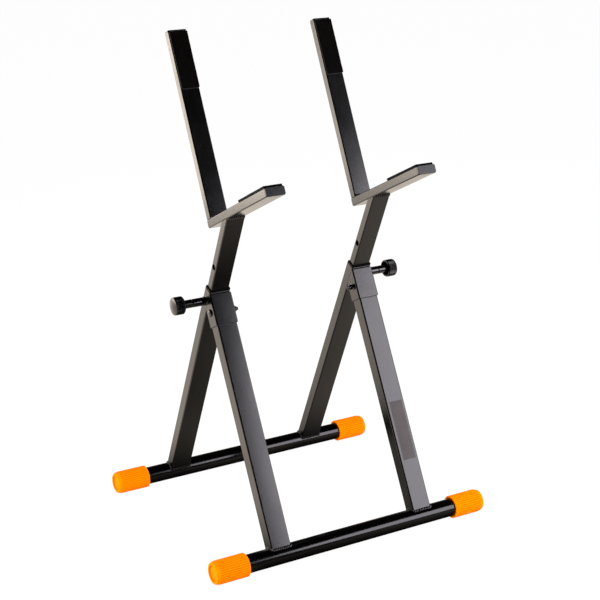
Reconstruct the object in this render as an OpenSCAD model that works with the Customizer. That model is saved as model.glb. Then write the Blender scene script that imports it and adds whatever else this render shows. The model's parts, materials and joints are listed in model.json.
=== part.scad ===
// Folding two-sided amp stand: tubular side frames on two base tubes, with height-adjustable
// arms held by pull pins. +Z is up, -Y is the front, the origin is on the floor at the middle.

/* [Stance] */
// Distance between the centre planes of the left and right side frames
leg_spacing = 288; // [220:1:380]
// Distance between the axes of the front and rear base tubes
foot_spread = 397; // [370:1:440]
// Angle of the front legs from upright, degrees
front_lean = 28.2; // [24:0.1:31]
// Angle of the rear legs and posts from upright, degrees
rear_lean = 23.9; // [20:0.1:27]

/* [Base tubes] */
// Outer diameter of the base tubes
tube_d = 32; // [28:0.5:35]
// Wall of the base tubes
tube_wall = 1.5; // [1:0.1:3]
// Length of a base tube
tube_len = 536; // [500:1:700]

/* [Foot caps] */
// Outer diameter of a foot cap over its ribs
cap_d = 41; // [39:0.5:48]
// Length of a foot cap
cap_len = 61.5; // [45:0.5:80]
// Thickness of the closed end of a foot cap
cap_end = 4; // [3:0.5:6]
// Length over which the closed end of a foot cap tapers
cap_taper_len = 9; // [5:0.5:12]
// Amount by which the taper reduces the radius
cap_taper = 1.8; // [1:0.1:2.5]
// Radius that rounds the edge of the closed end
cap_round = 1.5; // [1:0.1:3]
// Radius of the recess in the closed end
cap_recess_r = 14; // [8:0.5:15]
// Depth of the recess in the closed end
cap_recess_depth = 1.6; // [0.5:0.1:2]
// Number of grooves round a foot cap
cap_grooves = 32; // [20:1:48]
// Depth of a groove
cap_groove_depth = 0.6; // [0.3:0.05:0.9]
// Width of a groove at the surface
cap_groove_w = 2; // [1:0.1:2.4]

/* [Front legs] */
// Width of a front leg, across the stand
front_leg_w = 38; // [32:0.5:45]
// Depth of a front leg, front to back
front_leg_d = 25; // [22:0.5:28]
// Wall of a front leg
front_leg_wall = 1.5; // [1:0.1:2.5]
// Outer corner radius of the leg tubes
leg_corner = 2.5; // [2.5:0.1:4]
// Depth of the plug in the top of a front leg, below the pivot
leg_plug_depth = 14; // [8:0.5:30]

/* [Rear legs] */
// Wall of a rear leg, which fits round the guide bush
rear_leg_wall = 1.5; // [1:0.1:2.5]
// Distance along the leg from the pivot up to the open top
rear_leg_above_pivot = 31; // [29:0.5:60]

/* [Pivot] */
// Gap between the folded front leg and the rear leg
fold_gap = 3.3; // [2:0.1:8]
// Sheet thickness of the pivot bracket
bracket_sheet = 1.6; // [1.2:0.1:3]
// Distance from the pivot down to the lower edge of the bracket
bracket_below = 24.5; // [15:0.5:40]
// Distance from the pivot back to the rear edge of the bracket
bracket_behind = 13; // [9:0.5:16]
// Gap on each side between the front leg and the bracket
bracket_clear = 0.3; // [0.2:0.05:0.6]
// Gap between the top edge of the bracket's front plate and the rear leg
bracket_top_gap = 1; // [0:0.1:4]
// Diameter of the pivot bolt
bolt_d = 6; // [5:0.5:7]
// Length of the bolt shank under the head
bolt_len = 53; // [52:1:70]
// Diameter of the bolt's domed head
bolt_head_d = 13.2; // [12:0.1:16]
// Height of the bolt's domed head
bolt_head_h = 3.4; // [2.8:0.1:5]
// Height of the upright edge of the bolt's head
bolt_edge_h = 0.6; // [0.4:0.1:1.5]
// Outer diameter of the spacer sleeve that the leg turns on
sleeve_d = 10; // [9:0.5:13]
// Outer diameter of the washer
washer_d = 12; // [11:0.5:16]
// Thickness of the washer
washer_h = 1.6; // [1:0.1:2.5]
// Width across flats of the lock nut
nut_af = 10; // [9:0.5:13]
// Height of the lock nut's hexagon
nut_h = 4.4; // [3:0.1:6]
// Height of the round collar on the lock nut
nut_collar_h = 1.8; // [1:0.1:3]

/* [Arms and posts] */
// Width of the post and arm tubes
arm_w = 35; // [30:0.5:36]
// Depth of the post and arm tubes
arm_d = 15; // [12:0.5:16]
// Wall of the post and arm tubes
arm_wall = 1.5; // [1:0.1:2]
// Outer corner radius of the post and arm tubes
arm_corner = 2; // [2:0.1:3]
// Height of the shelf arm's axis above the top of the rear leg, along the post
shelf_rise = 163; // [120:1:220]
// Angle of the shelf arm from level, degrees
shelf_tilt = 26.3; // [10:0.1:34]
// Reach of the shelf arm in front of the post's axis
shelf_front = 154; // [120:1:220]
// Distance from the post's axis back to the back arm's axis
back_arm_behind = 65.4; // [45:0.1:80]
// Height of the back arm's top above the shelf arm's axis
back_arm_top = 337.5; // [280:0.5:420]
// Thickness of the end plugs' caps
plug_cap = 3; // [2:0.5:5]
// Corner radius of the end plugs' caps
plug_corner = 3; // [2:0.1:4]
// Depth of the end plugs inside the tubes
plug_depth = 12; // [8:0.5:20]

/* [Pads] */
// Thickness of the foam pads
pad_t = 4; // [2:0.5:8]
// Width of the foam pads
pad_w = 33.5; // [20:0.5:34]
// Length of the shelf pad
shelf_pad_len = 96; // [60:1:110]
// Length of the back pad
back_pad_len = 100; // [60:1:200]
// Distance from the tube's end to the pad
pad_inset = 1; // [0:0.5:10]

/* [Height adjustment] */
// Distance between the adjusting holes in the post
hole_pitch = 75; // [60:1:80]
// Number of adjusting holes
hole_count = 3; // [2:1:3]
// Diameter of an adjusting hole
hole_d = 10.5; // [9.8:0.1:11]
// Distance from the rear leg's open top down to the plunger's axis
plunger_drop = 25; // [20:0.5:40]
// Distance from the post's lowest hole down to its foot
post_tail = 45; // [30:1:60]
// Wall of the guide bush, between the post and the rear leg
bush_wall = 0.7; // [0.5:0.1:3]
// Length of the guide bush inside the rear leg
bush_len = 60; // [50:1:70]
// Height of the guide bush's rim
bush_rim = 3; // [2:0.1:6]
// Gap between the post and whatever guides it
slide_clear = 0.3; // [0.2:0.05:0.5]
// Height of the glide block's foot below the post
glide_h = 10; // [5:0.5:20]

/* [Plunger] */
// Outer diameter of the threaded boss on the rear leg
boss_d = 16; // [15:0.5:19]
// Height of the threaded boss
boss_h = 5; // [4:0.5:8]
// Thread diameter of the plunger housing
thread_d = 12; // [10.5:0.5:13]
// Outer diameter of the plunger housing
housing_d = 14; // [13:0.5:16]
// Length of the plunger housing outside the boss
housing_len = 21; // [20:0.5:35]
// Thickness of the housing's outer end
housing_end = 3; // [2:0.5:5]
// Diameter of the pin's nose
pin_d = 9; // [7:0.1:9.5]
// Diameter of the pin's rod
rod_d = 4.2; // [3:0.1:5]
// Length of the pin's nose
nose_len = 9; // [8:0.5:10]
// Running clearance of the pin, on the radius
pin_clear = 0.05; // [0.02:0.01:0.1]
// Wire diameter of the return spring
spring_wire = 0.8; // [0.5:0.1:1]
// Turns of the return spring
spring_turns = 7; // [4:1:9]
// Diameter of the knob's head
knob_d = 31.5; // [28:0.5:40]
// Length of the knob's head
knob_head = 19; // [12:0.1:25]
// Diameter of the knob's neck
neck_d = 14; // [12:0.5:18]
// Length of the knob's neck
neck_len = 17.5; // [14:0.5:25]
// Number of flutes round the knob
knob_flutes = 40; // [20:1:48]
// Depth of a flute
flute_depth = 0.6; // [0.3:0.05:1]
// Radius of a flute
flute_r = 0.9; // [0.6:0.05:1.2]
// Radius that rounds the knob's outer edge
knob_round = 1.2; // [0.5:0.1:3]
// Wall between the knob's rim and its hollow back
knob_rim = 2.8; // [2:0.1:4]
// Depth of the hollow in the back of the knob
knob_hollow = 9; // [4:0.5:10]

/* [Welds] */
// Radius of the weld beads
bead_r = 2.4; // [1.5:0.1:3.5]

/* [Hidden] */

$fn = 64;
far = 400;                // longer than any piece that a cutting box has to clear
tube_z = cap_d / 2;
left = -1;
right = 1;

// The rear leg is as large as the post, its guide bush and its own wall make it.
bush_in_w = arm_w + 2 * slide_clear;
bush_in_d = arm_d + 2 * slide_clear;
cavity_w = bush_in_w + 2 * bush_wall;
cavity_d = bush_in_d + 2 * bush_wall;
cavity_corner = leg_corner - rear_leg_wall;
rear_leg_w = cavity_w + 2 * rear_leg_wall;
rear_leg_d = cavity_d + 2 * rear_leg_wall;

// The pivot lies in front of the rear leg, far enough for the front leg to fold past it.
pivot_ahead = rear_leg_d / 2 + fold_gap + front_leg_d / 2;
pivot_s = (foot_spread * cos(rear_lean) - pivot_ahead) / sin(front_lean + rear_lean);
pivot_rear_s = foot_spread * sin(rear_lean) + pivot_s * cos(front_lean + rear_lean);
bracket_half_in = front_leg_w / 2 + bracket_clear;
bracket_half_out = bracket_half_in + bracket_sheet;
bracket_front = front_leg_d / 2 + bracket_clear + bracket_sheet;
// Height above the pivot at which the plate's inner face would meet the rear leg, less the gap
bracket_above = (fold_gap + front_leg_d / 2 + (bracket_front - bracket_sheet) * cos(front_lean + rear_lean))
    / sin(front_lean + rear_lean) - bracket_top_gap;
// The inner bend is small enough for the square corners of the leg's top to turn past it.
bracket_bend_in = 3 * bracket_clear;
bolt_clear = 0.1;         // on the radius, round the bolt and its thread
nut_collar_inset = 0.4;   // from the flats to the collar, on the radius

rear_leg_top = pivot_rear_s + rear_leg_above_pivot;
plunger_s = rear_leg_top - plunger_drop;
shelf_s = rear_leg_top + shelf_rise;
// The upper hole shows above the bush, the middle one takes the pin, the rest lie below.
hole_first = plunger_s + hole_pitch;
post_foot_s = hole_first - (hole_count - 1) * hole_pitch - post_tail;
shelf_back = back_arm_behind + arm_d / 2;

rim_step = 0.2;           // of the bush's rim, in from the outside of the leg

housing_inset = 1;        // gap between the housing and the side of the leg
nose_taper = 1;           // chamfer on the end of the nose
nose_x = arm_w / 2 + slide_clear;
housing_x = rear_leg_w / 2 + housing_inset;
housing_out = rear_leg_w / 2 + boss_h + housing_len;
neck_x = housing_out + slide_clear;
knob_x = neck_x + neck_len;
rod_grip = 12;            // length of the rod inside the knob
hub_wall = 1;             // by which the knob's hub inside the hollow is thicker than the neck
spring_seat = 0.3;        // gap at each end of the spring
spring_play = 0.2;        // from the coils to the housing's bore, on the radius

// Frames of reference, each drawn for the right-hand side with the outer side at +X

module on_side(s) {
    if (s < 0) mirror([1, 0, 0]) translate([leg_spacing / 2, 0, 0]) children();
    else translate([leg_spacing / 2, 0, 0]) children();
}

module along_front_leg() {
    translate([0, -foot_spread / 2, tube_z]) rotate([-front_lean, 0, 0]) children();
}

module along_rear_leg() {
    translate([0, foot_spread / 2, tube_z]) rotate([rear_lean, 0, 0]) children();
}

module along_shelf() {
    along_rear_leg() translate([0, 0, shelf_s]) rotate([-rear_lean - shelf_tilt, 0, 0]) children();
}

module at_pivot() {
    along_front_leg() translate([0, 0, pivot_s]) children();
}

module at_plunger() {
    along_rear_leg() translate([0, 0, plunger_s]) rotate([0, 90, 0]) children();
}

// Profiles and shared shapes

module rounded_rect(w, d, r) {
    square([w - 2 * r, d], center = true);
    square([w, d - 2 * r], center = true);
    for (x = [-1, 1], y = [-1, 1])
        translate([x * (w / 2 - r), y * (d / 2 - r)]) circle(r);
}

module rect_tube(w, d, wall, corner, len) {
    linear_extrude(len) difference() {
        rounded_rect(w, d, corner);
        rounded_rect(w - 2 * wall, d - 2 * wall, corner - wall);
    }
}

module rod_x(d, len) {
    rotate([0, 90, 0]) cylinder(d = d, h = len, center = true);
}

module base_tube() {
    difference() {
        rod_x(tube_d, tube_len);
        rod_x(tube_d - 2 * tube_wall, tube_len + 1);
    }
}

module base_tube_core() {
    rod_x(tube_d, tube_len);
}

// Length of a front leg from the base tube's axis, with its top rounded about the pivot
module front_leg_outline() {
    translate([-far / 2, -far / 2, 0]) cube([far, far, pivot_s]);
    translate([0, 0, pivot_s]) rod_x(front_leg_d, far);
}

// Foot caps

module grooved_disc() {
    cut_r = (pow(cap_groove_w / 2, 2) + pow(cap_groove_depth, 2)) / (2 * cap_groove_depth);
    difference() {
        circle(d = cap_d);
        for (i = [0:cap_grooves - 1])
            rotate((i + 0.5) * 360 / cap_grooves)
                translate([cap_d / 2 - cap_groove_depth + cut_r, 0]) circle(cut_r);
    }
}

module rounded_disc_profile(r, h, round) {
    square([r - round, h]);
    square([r, h - round]);
    translate([r - round, h - round]) circle(round);
}

module foot_cap() {
    end_r = cap_d / 2 - cap_taper;
    taper_to = cap_len - cap_round;
    difference() {
        union() {
            linear_extrude(cap_len - cap_taper_len) grooved_disc();
            translate([0, 0, cap_len - cap_taper_len])
                cylinder(r1 = cap_d / 2 - cap_groove_depth, r2 = end_r, h = cap_taper_len - cap_round);
            translate([0, 0, taper_to]) rotate_extrude()
                intersection() {
                    translate([0, -end_r]) rounded_disc_profile(end_r, end_r + cap_round, cap_round);
                    square(far);
                }
        }
        translate([0, 0, -1]) cylinder(d = tube_d, h = cap_len - cap_end + 1);
        translate([0, 0, cap_len - cap_recess_depth]) cylinder(r = cap_recess_r, h = far);
    }
}

module cap_on(s, y) {
    translate([s * (tube_len / 2 + cap_end - cap_len), y, tube_z])
        rotate([0, s * 90, 0]) foot_cap();
}

// Front frame

module front_base_tube() {
    color("#17181a") translate([0, -foot_spread / 2, tube_z]) base_tube();
}

module front_leg(s) {
    color("#2b2c30") on_side(s) along_front_leg() difference() {
        intersection() {
            rect_tube(front_leg_w, front_leg_d, front_leg_wall, leg_corner, pivot_s + front_leg_d / 2);
            front_leg_outline();
        }
        base_tube_core();
        translate([0, 0, pivot_s]) rod_x(sleeve_d + 2 * pin_clear, far);
    }
}

module front_leg_plug(s) {
    color("#151515") on_side(s) along_front_leg() difference() {
        intersection() {
            translate([0, 0, pivot_s - leg_plug_depth])
                linear_extrude(leg_plug_depth + front_leg_d / 2)
                    rounded_rect(front_leg_w - 2 * front_leg_wall, front_leg_d - 2 * front_leg_wall,
                                 leg_corner - front_leg_wall);
            front_leg_outline();
        }
        translate([0, 0, pivot_s]) rod_x(sleeve_d + 2 * pin_clear, far);
    }
}

module front_foot_cap(s) {
    color("#ff8c00") cap_on(s, -foot_spread / 2);
}

// Beads on the four sides of a leg's foot, in the corner between the leg and the base tube
module foot_bead(w, d) {
    edge_z = sqrt(pow(tube_d / 2, 2) - pow(d / 2, 2));
    half_turn = asin((d - 2 * leg_corner) / tube_d);
    for (y = [-1, 1]) difference() {
        translate([0, y * d / 2, edge_z]) rod_x(2 * bead_r, w - 2 * leg_corner);
        translate([-w / 2, -d / 2, 0]) cube([w, d, far]);
        base_tube_core();
    }
    for (x = [-1, 1]) difference() {
        translate([x * w / 2, 0, 0])
            rotate([0, 90, 0]) rotate([0, 0, 180 - half_turn])
                rotate_extrude(angle = 2 * half_turn) translate([tube_d / 2, 0]) circle(bead_r);
        translate([-w / 2, -far / 2, -far / 2]) cube([w, far, far]);
        base_tube_core();
    }
}

module front_weld_beads() {
    color("#1d1e20") for (s = [left, right])
        on_side(s) along_front_leg() foot_bead(front_leg_w, front_leg_d);
}

// Rear frame

module rear_base_tube() {
    color("#17181a") translate([0, foot_spread / 2, tube_z]) base_tube();
}

module rear_leg(s) {
    color("#232323") on_side(s) difference() {
        along_rear_leg() difference() {
            rect_tube(rear_leg_w, rear_leg_d, rear_leg_wall, leg_corner, rear_leg_top);
            base_tube_core();
        }
        at_plunger() cylinder(d = hole_d, h = far);
    }
}

module rear_foot_cap(s) {
    color("#ff8c00") cap_on(s, foot_spread / 2);
}

module rear_weld_beads() {
    color("#1d1e20") for (s = [left, right])
        on_side(s) along_rear_leg() foot_bead(rear_leg_w, rear_leg_d);
}

module pivot_bracket(s) {
    depth = bracket_front + bracket_behind;
    color("#2b2c30") on_side(s) difference() {
        at_pivot() difference() {
            translate([0, 0, -bracket_below]) linear_extrude(bracket_below + bracket_above) intersection() {
                difference() {
                    translate([0, -bracket_front + far / 2])
                        rounded_rect(2 * bracket_half_out, far, bracket_bend_in + bracket_sheet);
                    translate([0, -bracket_front + bracket_sheet + far / 2])
                        rounded_rect(2 * bracket_half_in, far, bracket_bend_in);
                }
                translate([-far / 2, -bracket_front]) square([far, depth]);
            }
            rod_x(bolt_d + 2 * bolt_clear, far);
            bolt_neck(bolt_d + 2 * bolt_clear, far);
        }
        along_rear_leg() translate([-far / 2, -rear_leg_d / 2, 0]) cube([far, far, 2 * far]);
    }
}

// Square neck that keeps the bolt from turning in the outer plate, from the inner face outwards
module bolt_neck(w, len) {
    translate([bracket_half_in, -w / 2, -w / 2]) cube([len, w, w]);
}

module pivot_bolt(s) {
    dome_h = bolt_head_h - bolt_edge_h;
    dome_r = (pow(bolt_head_d / 2, 2) + pow(dome_h, 2)) / (2 * dome_h);
    color("#3a3a3c") on_side(s) at_pivot() {
        bolt_neck(bolt_d, bracket_sheet + bolt_edge_h);
        translate([bracket_half_out, 0, 0]) rotate([0, 90, 0]) {
            translate([0, 0, -bolt_len]) cylinder(d = bolt_d, h = bolt_len + bolt_edge_h);
            intersection() {
                cylinder(d = bolt_head_d, h = bolt_head_h);
                translate([0, 0, bolt_head_h - dome_r]) sphere(dome_r);
            }
        }
    }
}

module pivot_sleeve(s) {
    color("#8f9092") on_side(s) at_pivot() difference() {
        rod_x(sleeve_d, 2 * bracket_half_in);
        rod_x(bolt_d + 2 * bolt_clear, far);
    }
}

module pivot_washers() {
    color("#8f9092") for (s = [left, right])
        on_side(s) at_pivot() translate([-bracket_half_out - washer_h / 2, 0, 0]) difference() {
            rod_x(washer_d, washer_h);
            rod_x(bolt_d + 2 * bolt_clear, far);
        }
}

module pivot_lock_nuts() {
    color("#3a3a3c") for (s = [left, right])
        on_side(s) at_pivot() translate([-bracket_half_out - washer_h, 0, 0])
            rotate([0, -90, 0]) difference() {
                union() {
                    cylinder(d = nut_af / cos(30), h = nut_h, $fn = 6);
                    cylinder(d = nut_af - 2 * nut_collar_inset, h = nut_h + nut_collar_h);
                }
                translate([0, 0, -1])
                    cylinder(d = bolt_d + bolt_clear, h = nut_h + nut_collar_h + 2);
            }
}

module guide_bush(s) {
    color("#1a1a1a") on_side(s) difference() {
        along_rear_leg() difference() {
            union() {
                translate([0, 0, rear_leg_top - bush_len])
                    linear_extrude(bush_len) rounded_rect(cavity_w, cavity_d, cavity_corner);
                translate([0, 0, rear_leg_top]) linear_extrude(bush_rim)
                    rounded_rect(rear_leg_w - 2 * rim_step, rear_leg_d - 2 * rim_step, leg_corner);
            }
            translate([0, 0, rear_leg_top - bush_len - 1]) linear_extrude(bush_len + bush_rim + 2)
                rounded_rect(bush_in_w, bush_in_d, arm_corner);
        }
        at_plunger() cylinder(d = hole_d, h = far);
    }
}

// Plunger, drawn along +Z with zero at the leg's centre plane

module plunger_boss(s) {
    color("#232323") on_side(s) at_plunger() translate([0, 0, rear_leg_w / 2]) difference() {
        cylinder(d = boss_d, h = boss_h);
        translate([0, 0, -1]) cylinder(d = thread_d, h = boss_h + 2);
    }
}

module plunger_housing(s) {
    color("#2e2f31") on_side(s) at_plunger() difference() {
        union() {
            translate([0, 0, housing_x]) cylinder(d = thread_d, h = housing_out - housing_x);
            translate([0, 0, housing_out - housing_len]) cylinder(d = housing_d, h = housing_len);
        }
        translate([0, 0, housing_x - 1])
            cylinder(d = pin_d + 2 * pin_clear, h = housing_out - housing_end - housing_x + 1);
        cylinder(d = rod_d + 2 * pin_clear, h = far);
    }
}

module plunger_pin(s) {
    color("#b9bbbd") on_side(s) at_plunger() {
        translate([0, 0, nose_x])
            cylinder(d1 = pin_d - 2 * nose_taper, d2 = pin_d, h = nose_taper);
        translate([0, 0, nose_x + nose_taper]) cylinder(d = pin_d, h = nose_len - nose_taper);
        translate([0, 0, nose_x + nose_len])
            cylinder(d = rod_d, h = neck_x + rod_grip - nose_x - nose_len);
    }
}

module plunger_knob(s) {
    head_face = knob_x + knob_head;
    crown_r = 3 * knob_d;
    hub_r = neck_d / 2 + hub_wall;
    rim_r = knob_d / 2 - knob_rim;
    color("#4a4a4a") on_side(s) at_plunger() difference() {
        union() {
            translate([0, 0, neck_x]) cylinder(d = neck_d, h = neck_len + knob_head / 2);
            intersection() {
                translate([0, 0, knob_x]) linear_extrude(knob_head) difference() {
                    circle(d = knob_d);
                    for (i = [0:knob_flutes - 1])
                        rotate(i * 360 / knob_flutes)
                            translate([knob_d / 2 - flute_depth + flute_r, 0]) circle(flute_r);
                }
                translate([0, 0, knob_x]) rotate_extrude()
                    rounded_disc_profile(knob_d / 2, knob_head, knob_round);
                translate([0, 0, head_face - crown_r]) sphere(crown_r, $fn = 128);
            }
        }
        translate([0, 0, knob_x - 1]) difference() {
            cylinder(r = rim_r, h = knob_hollow + 1);
            cylinder(r = hub_r, h = knob_hollow + 1);
        }
        translate([0, 0, neck_x - 1]) cylinder(d = rod_d, h = rod_grip + 1);
    }
}

// The spring is one unbroken helix round the rod, between the nose and the housing's end.
module plunger_spring(s) {
    from = nose_x + nose_len + spring_seat + spring_wire / 2;
    to = housing_out - housing_end - spring_seat - spring_wire / 2;
    coil_r = (pin_d - spring_wire) / 2 - spring_play;
    steps = 10;
    sides = 6;
    rings = spring_turns * steps;
    turn = 360 / steps;
    pts = [for (i = [0:rings], j = [0:sides - 1])
        let (a = i * turn, b = j * 360 / sides, r = coil_r + spring_wire / 2 * cos(b))
        [r * cos(a), r * sin(a), from + (to - from) * i / rings + spring_wire / 2 * sin(b)]];
    walls = [for (i = [0:rings - 1], j = [0:sides - 1])
        let (k = (j + 1) % sides, a = i * sides + j, b = i * sides + k)
        each [[a, a + sides, b + sides], [a, b + sides, b]]];
    ends = [
        [for (j = [0:sides - 1]) j],
        [for (j = [0:sides - 1]) rings * sides + sides - 1 - j],
    ];
    echo(least_gap_between_turns = (to - from) / spring_turns - spring_wire);
    color("#9a9a9a") on_side(s) at_plunger() polyhedron(pts, concat(walls, ends));
}

// Upper part, which slides in the rear leg

module post(s) {
    color("#2a2a28") on_side(s) difference() {
        along_rear_leg() difference() {
            translate([0, 0, post_foot_s])
                rect_tube(arm_w, arm_d, arm_wall, arm_corner, shelf_s + arm_w - post_foot_s);
            for (i = [0:hole_count - 1])
                translate([0, 0, hole_first - i * hole_pitch]) rod_x(hole_d, far);
        }
        along_shelf() translate([-far / 2, -far / 2, -arm_d / 2]) cube(far);
    }
}

module post_glide(s) {
    color("#1a1a1a") on_side(s) along_rear_leg() translate([0, 0, post_foot_s]) {
        linear_extrude(plug_depth)
            rounded_rect(arm_w - 2 * arm_wall, arm_d - 2 * arm_wall, arm_corner - arm_wall);
        translate([0, 0, -glide_h]) linear_extrude(glide_h)
            rounded_rect(cavity_w - 2 * slide_clear, cavity_d - 2 * slide_clear, cavity_corner);
    }
}

module shelf_arm(s) {
    color("#2a2a28") on_side(s) along_shelf() translate([0, plug_cap - shelf_front, 0])
        rotate([-90, 0, 0])
            rect_tube(arm_w, arm_d, arm_wall, arm_corner, shelf_front + shelf_back - 2 * plug_cap);
}

// End plug for an arm tube, with its cap's outer face at zero and the tube along +Z
module end_plug() {
    linear_extrude(plug_cap) rounded_rect(arm_w, arm_d, plug_corner);
    linear_extrude(plug_cap + plug_depth)
        rounded_rect(arm_w - 2 * arm_wall, arm_d - 2 * arm_wall, arm_corner - arm_wall);
}

module shelf_front_plug(s) {
    color("#1c1c1e") on_side(s) along_shelf() translate([0, -shelf_front, 0])
        rotate([-90, 0, 0]) end_plug();
}

module shelf_rear_plug(s) {
    color("#1c1c1e") on_side(s) along_shelf() translate([0, shelf_back, 0])
        rotate([90, 0, 0]) end_plug();
}

module back_arm(s) {
    color("#1d1d22") on_side(s) along_shelf() translate([0, back_arm_behind, arm_d / 2])
        rect_tube(arm_w, arm_d, arm_wall, arm_corner, back_arm_top - plug_cap - arm_d / 2);
}

module back_arm_plug(s) {
    color("#1c1c1e") on_side(s) along_shelf() translate([0, back_arm_behind, back_arm_top])
        rotate([180, 0, 0]) end_plug();
}

// Foam strip lying on the XY plane, centred across and running from zero along +Y
module foam_strip(len) {
    edge = pad_t / 4;
    intersection() {
        translate([0, len / 2, 0]) linear_extrude(pad_t) rounded_rect(pad_w, len, arm_corner);
        translate([0, len, 0]) rotate([90, 0, 0]) linear_extrude(len)
            rounded_rect(pad_w, 2 * pad_t, edge);
    }
}

module shelf_pad(s) {
    color("#141414") on_side(s) along_shelf()
        translate([0, plug_cap + pad_inset - shelf_front, arm_d / 2]) foam_strip(shelf_pad_len);
}

module back_pad(s) {
    color("#2a2320") on_side(s) along_shelf()
        translate([0, back_arm_behind - arm_d / 2, back_arm_top - plug_cap - pad_inset])
            rotate([90, 0, 0]) mirror([0, 1, 0]) foam_strip(back_pad_len);
}

// Beads lie in the corners before and behind the post's top and in front of the back arm's foot.
module arm_weld_beads(s) {
    slant = rear_lean + shelf_tilt;
    bead_len = arm_w - 2 * arm_corner;
    color("#1d1e20") on_side(s) difference() {
        union() {
            along_rear_leg() for (y = [-arm_d / 2, arm_d / 2])
                translate([0, y, shelf_s - (arm_d / 2 + y * sin(slant)) / cos(slant)])
                    rod_x(2 * bead_r, bead_len);
            along_shelf() translate([0, back_arm_behind - arm_d / 2, arm_d / 2])
                rod_x(2 * bead_r, bead_len);
        }
        along_rear_leg() translate([-far / 2, -arm_d / 2, 0]) cube([far, arm_d, shelf_s]);
        along_shelf() translate([-far / 2, -far / 2, -arm_d / 2]) cube([far, far, arm_d]);
        along_shelf() translate([-far / 2, back_arm_behind - arm_d / 2, 0]) cube([far, arm_d, far]);
    }
}

front_base_tube();
front_leg(left);  // front_leg_left
front_leg(right);  // front_leg_right
front_leg_plug(left);  // front_leg_plug_left
front_leg_plug(right);  // front_leg_plug_right
front_foot_cap(left);  // front_foot_cap_left
front_foot_cap(right);  // front_foot_cap_right
front_weld_beads();
rear_base_tube();
rear_leg(left);  // rear_leg_left
rear_leg(right);  // rear_leg_right
rear_foot_cap(left);  // rear_foot_cap_left
rear_foot_cap(right);  // rear_foot_cap_right
rear_weld_beads();
pivot_bracket(left);  // pivot_bracket_left
pivot_bracket(right);  // pivot_bracket_right
pivot_bolt(left);  // pivot_bolt_left
pivot_bolt(right);  // pivot_bolt_right
pivot_sleeve(left);  // pivot_sleeve_left
pivot_sleeve(right);  // pivot_sleeve_right
pivot_washers();
pivot_lock_nuts();
guide_bush(left);  // guide_bush_left
guide_bush(right);  // guide_bush_right
plunger_boss(left);  // plunger_boss_left
plunger_boss(right);  // plunger_boss_right
plunger_housing(left);  // plunger_housing_left
plunger_housing(right);  // plunger_housing_right
plunger_pin(left);  // plunger_pin_left
plunger_pin(right);  // plunger_pin_right
plunger_knob(left);  // plunger_knob_left
plunger_knob(right);  // plunger_knob_right
plunger_spring(left);  // plunger_spring_left
plunger_spring(right);  // plunger_spring_right
post(left);  // post_left
post(right);  // post_right
post_glide(left);  // post_glide_left
post_glide(right);  // post_glide_right
shelf_arm(left);  // shelf_arm_left
shelf_arm(right);  // shelf_arm_right
shelf_front_plug(left);  // shelf_front_plug_left
shelf_front_plug(right);  // shelf_front_plug_right
shelf_rear_plug(left);  // shelf_rear_plug_left
shelf_rear_plug(right);  // shelf_rear_plug_right
shelf_pad(left);  // shelf_pad_left
shelf_pad(right);  // shelf_pad_right
back_arm(left);  // back_arm_left
back_arm(right);  // back_arm_right
back_arm_plug(left);  // back_arm_plug_left
back_arm_plug(right);  // back_arm_plug_right
back_pad(left);  // back_pad_left
back_pad(right);  // back_pad_right
arm_weld_beads(left);  // arm_weld_beads_left
arm_weld_beads(right);  // arm_weld_beads_right
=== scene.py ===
import json
import math
import random

import bmesh
import bpy
from mathutils import Matrix, Vector, noise

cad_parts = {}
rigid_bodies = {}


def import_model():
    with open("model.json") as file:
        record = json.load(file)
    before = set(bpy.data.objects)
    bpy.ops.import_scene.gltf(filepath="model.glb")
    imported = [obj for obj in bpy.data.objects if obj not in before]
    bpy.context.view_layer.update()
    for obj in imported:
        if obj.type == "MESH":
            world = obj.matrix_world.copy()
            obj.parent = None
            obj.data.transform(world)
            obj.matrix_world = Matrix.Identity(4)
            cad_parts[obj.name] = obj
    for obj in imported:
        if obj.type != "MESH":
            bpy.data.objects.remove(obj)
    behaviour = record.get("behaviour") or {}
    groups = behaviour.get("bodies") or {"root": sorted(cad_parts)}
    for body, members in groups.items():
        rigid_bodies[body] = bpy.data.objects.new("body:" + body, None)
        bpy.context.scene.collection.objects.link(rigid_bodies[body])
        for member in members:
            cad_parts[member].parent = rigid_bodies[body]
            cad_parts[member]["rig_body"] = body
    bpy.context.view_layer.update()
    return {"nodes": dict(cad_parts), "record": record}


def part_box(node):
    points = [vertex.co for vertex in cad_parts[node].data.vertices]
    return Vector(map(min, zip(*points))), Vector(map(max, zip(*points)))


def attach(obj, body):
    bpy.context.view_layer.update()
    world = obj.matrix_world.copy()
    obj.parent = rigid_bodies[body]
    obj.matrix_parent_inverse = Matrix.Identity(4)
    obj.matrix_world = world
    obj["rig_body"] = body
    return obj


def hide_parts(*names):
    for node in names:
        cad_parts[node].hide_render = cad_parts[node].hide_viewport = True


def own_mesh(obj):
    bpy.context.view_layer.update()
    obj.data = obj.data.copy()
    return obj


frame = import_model()
scene = bpy.context.scene
print("frame loaded:", len(frame["nodes"]), "solids")

mm = 0.001
sides = {"left": -1, "right": 1}

# The stand's own numbers, in mm and degrees, as they are in the CAD source
stand = {"legSpacing": 288, "footSpread": 397, "frontLean": 28.2, "rearLean": 23.9, "shelfTilt": 26.3,
         "tubeAxisZ": 20.5, "tubeD": 32, "tubeLen": 536, "legWidth": {"front": 38, "rear": 40},
         "legDepth": {"front": 25, "rear": 20}, "legCorner": 2.5, "legWall": 1.5, "foldGap": 3.3,
         "bracketHalf": 20.9, "legAbovePivot": 31, "plungerDrop": 25, "shelfRise": 163, "shelfFront": 154,
         "armDepth": 15, "backArmBehind": 65.4, "backArmTop": 337.5, "plugCap": 3, "padInset": 1}


# Places

def move(x=0, y=0, z=0):
    return Matrix.Translation((x, y, z))


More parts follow.
